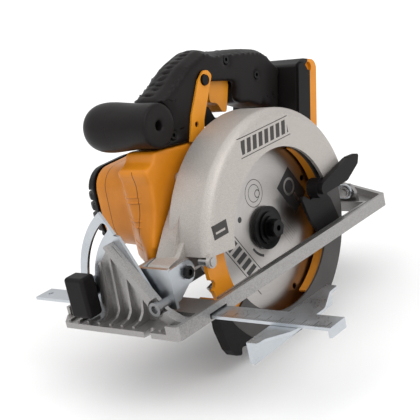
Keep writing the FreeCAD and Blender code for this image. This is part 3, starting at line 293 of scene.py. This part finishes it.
def blade_material():
    """Ground steel with fine circular lines, plain dark printed shapes, and dark discs of painted shade
    where small holes go through the blade.
    """
    g = Graph("blade_steel", Metallic=1.0)
    radius, angle = g.polar()
    rings = g.noise(1.0, 2.0, 0.6, g.join(g.math("MULTIPLY", radius, 9000.0),
                                          g.math("MULTIPLY", angle, 3.0), 0.0))
    swirl = g.noise(1.0, 3.0, 0.6, g.join(g.math("MULTIPLY", radius, 70.0),
                                          g.math("MULTIPLY", angle, 1.2), 0.0))
    steel_colour = g.mix(g.spread(rings, 0.3, 0.7), (0.40, 0.38, 0.365), (0.52, 0.50, 0.485))
    x, y, z = g.split()
    z = g.math("SUBTRACT", z, ARBOR.z * MM)
    along = g.math("SUBTRACT", g.math("MULTIPLY", x, PRINT_SIN), g.math("MULTIPLY", z, PRINT_COS))
    across = g.math("ADD", g.math("MULTIPLY", x, PRINT_COS), g.math("MULTIPLY", z, PRINT_SIN))

    def ring(s, t, size, width):
        ds = g.math("SUBTRACT", along, s)
        dt = g.math("SUBTRACT", across, t)
        away = g.math("SQRT", g.math("ADD", g.math("MULTIPLY", ds, ds), g.math("MULTIPLY", dt, dt)))
        return g.math("COMPARE", away, size, width)

    slant = g.math("SUBTRACT", g.math("ADD", along, 1.0), g.math("MULTIPLY", across, 0.25))
    bars = g.both(g.inside(across, -0.0425, -0.0310), g.inside(along, -0.0270, 0.0270),
                  g.stripes(slant, 0.0078, 0.62))
    rules = g.either(g.inside(across, -0.0295, -0.0287), g.inside(across, -0.0450, -0.0442))
    rules = g.both(rules, g.inside(along, -0.0300, 0.0300))
    label = g.both(g.inside(across, 0.0339, 0.0571), g.inside(along, -0.0078, 0.0254))
    emblem = g.either(ring(0.0040, 0.0455, 0.0065, 0.0010),
                      g.both(g.inside(across, 0.0440, 0.0470), g.inside(along, 0.0130, 0.0220)))
    sketch = g.either(ring(-0.0290, 0.0120, 0.0110, 0.0003), ring(-0.0290, 0.0120, 0.0070, 0.0003),
                      ring(-0.0255, 0.0145, 0.0030, 0.0004))
    small = g.both(g.inside(along, 0.0140, 0.0360), g.inside(across, 0.0100, 0.0250),
                   g.stripes(g.math("ADD", across, 1.0), 0.0024, 0.3),
                   g.stripes(g.math("ADD", along, 1.0), 0.0017, 0.65))
    arrow = g.both(g.inside(radius, 0.0215, 0.0236), g.inside(angle, -2.65, -1.95))
    # dark discs painted as the shade seen through small holes in the blade; they are not print
    painted_hole_shade_dots = g.either(ring(-0.0297, -0.0152, 0.0, 0.0024), ring(0.0000, -0.0591, 0.0, 0.0020))
    # ink holds the print and also the painted hole shade of the discs
    ink = g.either(bars, rules, g.math("SUBTRACT", label, emblem), sketch, g.math("MULTIPLY", small, 0.5),
                   arrow, painted_hole_shade_dots)
    ink = g.math("MULTIPLY", g.math("MAXIMUM", ink, 0.0), g.math("GREATER_THAN", radius, 0.0195))
    g.set("Base Color", g.mix(ink, steel_colour, (0.018, 0.017, 0.017)))
    g.set("Metallic", g.math("SUBTRACT", 1.0, g.math("MULTIPLY", ink, 0.9)))
    g.set("Roughness", g.spread(swirl, 0.3, 0.7, 0.32, 0.42))
    g.set("Anisotropic", 0.75)
    tangent = g.tree.nodes.new("ShaderNodeTangent")
    tangent.direction_type = "RADIAL"
    tangent.axis = "Y"
    g.set("Tangent", tangent.outputs[0])
    return g.bump(rings, 0.000005, 0.3)


blade_steel = blade_material()

BY_NODE = {
    guard_cast: ["upper_guard"],
    shoe_cast: ["base_plate"],
    gear_cast: ["gear_case"],
    zinc: ["bevel_quadrant", "tilt_bracket", "depth_arc", "fence_guide"],
    fence_zinc: ["fence_bar"],
    steel: ["bevel_clamp_bolt", "rear_pivot_pin", "bearings", "spindle", "spindle_gear", "idler_shaft",
            "idler_pinion", "idler_gear", "motor_shaft", "motor_pinion", "armature", "stator_can",
            "trigger_pin",
            "depth_clamp_bolt", "guard_stop_pin", "carbide_tips"],
    dark_zinc: ["bevel_pivot_bolt"],
    # handle_screws are made near-black as painted shade of their recessed holes; the other parts are dark
    # steel
    dark_steel: ["blade_bolt", "blade_flanges", "depth_pivot_pin", "handle_screws", "end_cap_screws"],
    blade_steel: ["blade"],
    guard_dark: ["lower_guard"],
    liner_yellow: ["guard_liner"],
    housing_yellow: ["gear_cover", "motor_housing"],
    dock_yellow: ["battery_dock"],
    strip_yellow: ["handle_strip", "trigger"],
    handle_black: ["handle_left_half", "handle_right_half"],
    grip_black: ["front_grip"],
    black: ["fence_screw", "bevel_lever", "motor_end_cap", "key_holder", "battery_rails",
            "terminal_block", "dock_pads", "depth_lever", "guard_nose", "guard_lever", "lock_off_button",
            "cooling_fan", "switch_module", "carbon_brushes"],
    copper: ["commutator", "terminal_blades"],
    magnet: ["stator_magnets"],
}
for graph, names in BY_NODE.items():
    for name in names:
        mesh = nodes[name].data
        mesh.materials.clear()
        mesh.materials.append(graph.mat)


def edge_round(name, width, segments=2, angle=35.0):
    obj = nodes[name]
    mod = obj.modifiers.new("round", "BEVEL")
    mod.width = width * MM
    mod.segments = segments
    mod.limit_method = "ANGLE"
    mod.angle_limit = math.radians(angle)
    mod.harden_normals = False
    mod.use_clamp_overlap = True
    return obj


# ---- pieces made from the CAD's own faces ---------------------------------------------------------
def bake(obj):
    """Applies obj's modifiers to its mesh."""
    bpy.context.view_layer.update()
    depsgraph = bpy.context.evaluated_depsgraph_get()
    mesh = bpy.data.meshes.new_from_object(obj.evaluated_get(depsgraph))
    obj.modifiers.clear()
    obj.data = mesh


def merged(name, sources, voxel, passes, graph, body):
    """One skin round several nodes, with its edges rounded off."""
    bm = bmesh.new()
    for source in sources:
        bm.from_mesh(nodes[source].data)
    mesh = bpy.data.meshes.new(name)
    bm.to_mesh(mesh)
    bm.free()
    obj = bpy.data.objects.new(name, mesh)
    bpy.context.collection.objects.link(obj)
    skin = obj.modifiers.new("skin", "REMESH")
    skin.mode = "VOXEL"
    skin.voxel_size = voxel * MM
    skin.use_smooth_shade = True
    melt = obj.modifiers.new("melt", "SMOOTH")
    melt.factor = 0.5
    melt.iterations = passes
    bake(obj)
    obj.data.materials.clear()
    obj.data.materials.append(graph.mat)
    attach(obj, body)
    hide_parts(*sources)
    return obj


def crown(obj, middle, half, swell, trim, free):
    """Rounds a slab's section: the outline swells at y = middle and shrinks by trim at both sides."""
    for v in obj.data.vertices:
        x, z = v.co.x / MM, v.co.z / MM
        flat = Vector((v.normal.x, 0.0, v.normal.z))
        if not free(x, z, flat):
            continue
        side = min(1.0, abs(v.co.y / MM - middle) / half)
        v.co += flat * ((swell - (swell + trim) * side * side) * MM)
    melt = obj.modifiers.new("melt", "SMOOTH")
    melt.factor = 0.5
    melt.iterations = 6
    coats = list(obj.data.materials)
    bake(obj)
    obj.data.materials.clear()
    for coat in coats:
        obj.data.materials.append(coat)


def outer_side(x, z, flat):
    """The handle's top, front and underside, but not the edges round the trigger."""
    if z < 118.0 and x < 30.0:
        return False
    return flat.z > 0.15 or (flat.x < -0.2 and x < -30.0) or (x > 62.0 and z < 132.0)


def raised_rib(name, target, start, end, width, height, graph, body, toward=(1.0, 0.0, 0.0)):
    """Low rounded rib on target's surface, from start to end as seen along toward (mm)."""
    tree = BVHTree.FromObject(target, bpy.context.evaluated_depsgraph_get())
    start, end, toward = Vector(start), Vector(end), Vector(toward)
    across = toward.cross(end - start).normalized()
    count = 22
    profile = ((-1.0, -0.5), (-0.72, 0.45), (-0.3, 0.9), (0.3, 0.9), (0.72, 0.45), (1.0, -0.5))
    rows = []
    for k in range(count + 1):
        t = k / count
        taper = min(1.0, 4.0 * min(t, 1.0 - t) + 0.02) ** 0.5
        row = []
        for side, lift in profile:
            at = start.lerp(end, t) + across * (side * width / 2 * (0.55 + 0.45 * taper))
            place, normal = tree.ray_cast((at - toward * 200) * MM, toward, 0.5)[:2]
            if place is None:
                break
            row.append(place + normal * ((lift * height * taper - 0.25) * MM))
        if len(row) == len(profile):
            rows.append(row)
    bm = bmesh.new()
    grid = [[bm.verts.new(p) for p in row] for row in rows]
    for a, b in zip(grid, grid[1:]):
        for i in range(len(profile) - 1):
            bm.faces.new((a[i], a[i + 1], b[i + 1], b[i]))
        bm.faces.new((a[-1], a[0], b[0], b[-1]))
    bm.faces.new(grid[0])
    bm.faces.new(list(reversed(grid[-1])))
    bmesh.ops.recalc_face_normals(bm, faces=bm.faces[:])
    mesh = bpy.data.meshes.new(name)
    bm.to_mesh(mesh)
    bm.free()
    for face in mesh.polygons:
        face.use_smooth = True
    mesh.materials.append(graph.mat)
    obj = bpy.data.objects.new(name, mesh)
    bpy.context.collection.objects.link(obj)
    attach(obj, body)
    return obj


handle = merged("handle_skin", ["handle_left_half", "handle_right_half"], 1.4, 42, handle_black, "saw")
crown(handle, HANDLE_MIDDLE, HANDLE_HALF, 3.2, 4.2, outer_side)
housing = merged("housing_skin", ["gear_cover", "motor_housing"], 1.4, 22, housing_yellow, "saw")
merged("grip_skin", ["front_grip"], 1.2, 10, grip_black, "saw")
merged("cap_skin", ["motor_end_cap"], 1.1, 3, black, "saw")

RIB_LEVELS = (84.0, 79.5, 66.0, 61.5, 48.0, 43.5)
for k, level in enumerate(RIB_LEVELS):
    rib_end = (0, 66 - 0.1 * (84 - level), level - 1.0)
    raised_rib("finger_rib_%d" % k, housing, (0, 38, level), rib_end, 2.6, 0.9, housing_yellow, "saw")

ROUND = {
    "upper_guard": 0.7, "base_plate": 0.5, "battery_dock": 1.0, "dock_pads": 0.7, "lower_guard": 0.4,
         "guard_liner": 0.4,
    "guard_nose": 1.0, "guard_lever": 0.9, "handle_strip": 0.5, "trigger": 1.3, "key_holder": 0.9,
    "bevel_quadrant": 0.35, "tilt_bracket": 0.4, "depth_arc": 0.4, "fence_bar": 0.3, "fence_guide": 0.4,
    "fence_screw": 0.5, "depth_lever": 0.8, "bevel_pivot_bolt": 0.5, "bevel_clamp_bolt": 0.4,
         "depth_pivot_pin": 0.4,
    "blade_bolt": 0.5, "blade_flanges": 0.5, "lock_off_button": 0.8, "guard_stop_pin": 0.4,
         "depth_clamp_bolt": 0.4,
    "bevel_lever": 0.6, "end_cap_screws": 0.3, "handle_screws": 0.3,
}
for name, width in ROUND.items():
    edge_round(name, width)


# ---- floor, light and camera --------------------------------------------------------------------
def build_stage():
    low = FLOOR_Z * MM
    bm = bmesh.new()
    corners = [bm.verts.new((x, y, low)) for x, y in ((-30, -30), (30, -30), (30, 30), (-30, 30))]
    bm.faces.new(corners)
    mesh = bpy.data.meshes.new("floor")
    bm.to_mesh(mesh)
    bm.free()
    floor = bpy.data.objects.new("floor", mesh)
    bpy.context.collection.objects.link(floor)
    g = Graph("pale_floor")
    cloud = g.noise(3.0, 2.0)
    g.set("Base Color", g.mix(cloud, (0.90, 0.90, 0.90), (0.92, 0.92, 0.92)))
    g.set("Roughness", 0.85)
    mesh.materials.append(g.mat)

    world = bpy.data.worlds.new("studio")
    bpy.context.scene.world = world
    world.use_nodes = True
    sky = world.node_tree.nodes["Background"]
    sky.inputs["Color"].default_value = (1.0, 1.0, 1.0, 1.0)
    sky.inputs["Strength"].default_value = 0.80

    def lamp(name, direction, spread, power):
        """A very wide, soft lamp far away, shining from the given direction."""
        data = bpy.data.lights.new(name, "SUN")
        data.angle = math.radians(spread)
        data.energy = power
        light = bpy.data.objects.new(name, data)
        light.rotation_euler = Vector(direction).to_track_quat("Z", "Y").to_euler()
        bpy.context.collection.objects.link(light)

    lamp("key", (-0.10, -0.80, 0.60), 50.0, 0.95)
    lamp("top", (-0.12, -0.10, 1.0), 100.0, 0.85)
    lamp("side", (-0.70, 0.25, 0.62), 70.0, 0.25)


def build_camera():
    right = Vector((0.616476, -0.759410, -0.207055))
    up = Vector((0.340174, 0.018678, 0.940185))
    back = Vector((-0.710417, -0.650475, 0.269814))
    data = bpy.data.cameras.new("camera")
    data.sensor_width = 36.0
    data.lens = 94.29
    data.clip_start = 0.01
    camera = bpy.data.objects.new("camera", data)
    turn = Matrix((right, up, back)).transposed().to_4x4()
    camera.matrix_world = Matrix.Translation(CAMERA_AT * MM) @ turn
    bpy.context.collection.objects.link(camera)
    bpy.context.scene.camera = camera


build_stage()
build_camera()
bpy.context.scene.view_settings.view_transform = "Standard"
